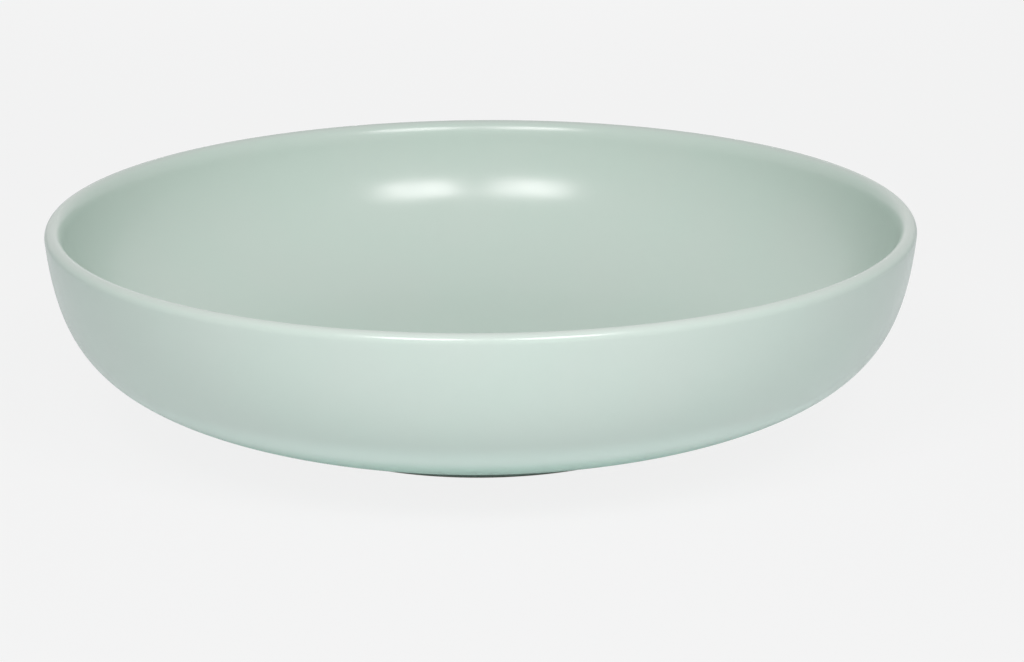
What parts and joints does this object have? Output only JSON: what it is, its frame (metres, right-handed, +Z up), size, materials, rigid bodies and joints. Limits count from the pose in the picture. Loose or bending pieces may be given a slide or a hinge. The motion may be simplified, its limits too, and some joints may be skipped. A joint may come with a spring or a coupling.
{
  "type": "serving bowl",
  "caption": "Low, wide, round serving bowl of glazed stoneware, with a flat floor, curved walls, a rolled rim and a short bare foot ring.",
  "frame": {"origin": "centre of the circle that the foot stands on, at table level", "axes": "+Z up along the bowl's axis; the bowl is round, so X and Y are any two level directions at right angles"},
  "size_m": [0.3, 0.3, 0.0725],
  "materials": {
    "stoneware": "matte",
    "glaze": "satin"
  },
  "bodies": {
    "root": {"stoneware_body": "stoneware", "glaze_coat": "glaze", "foot_well_glaze": "glaze"}
  },
  "joints": []
}
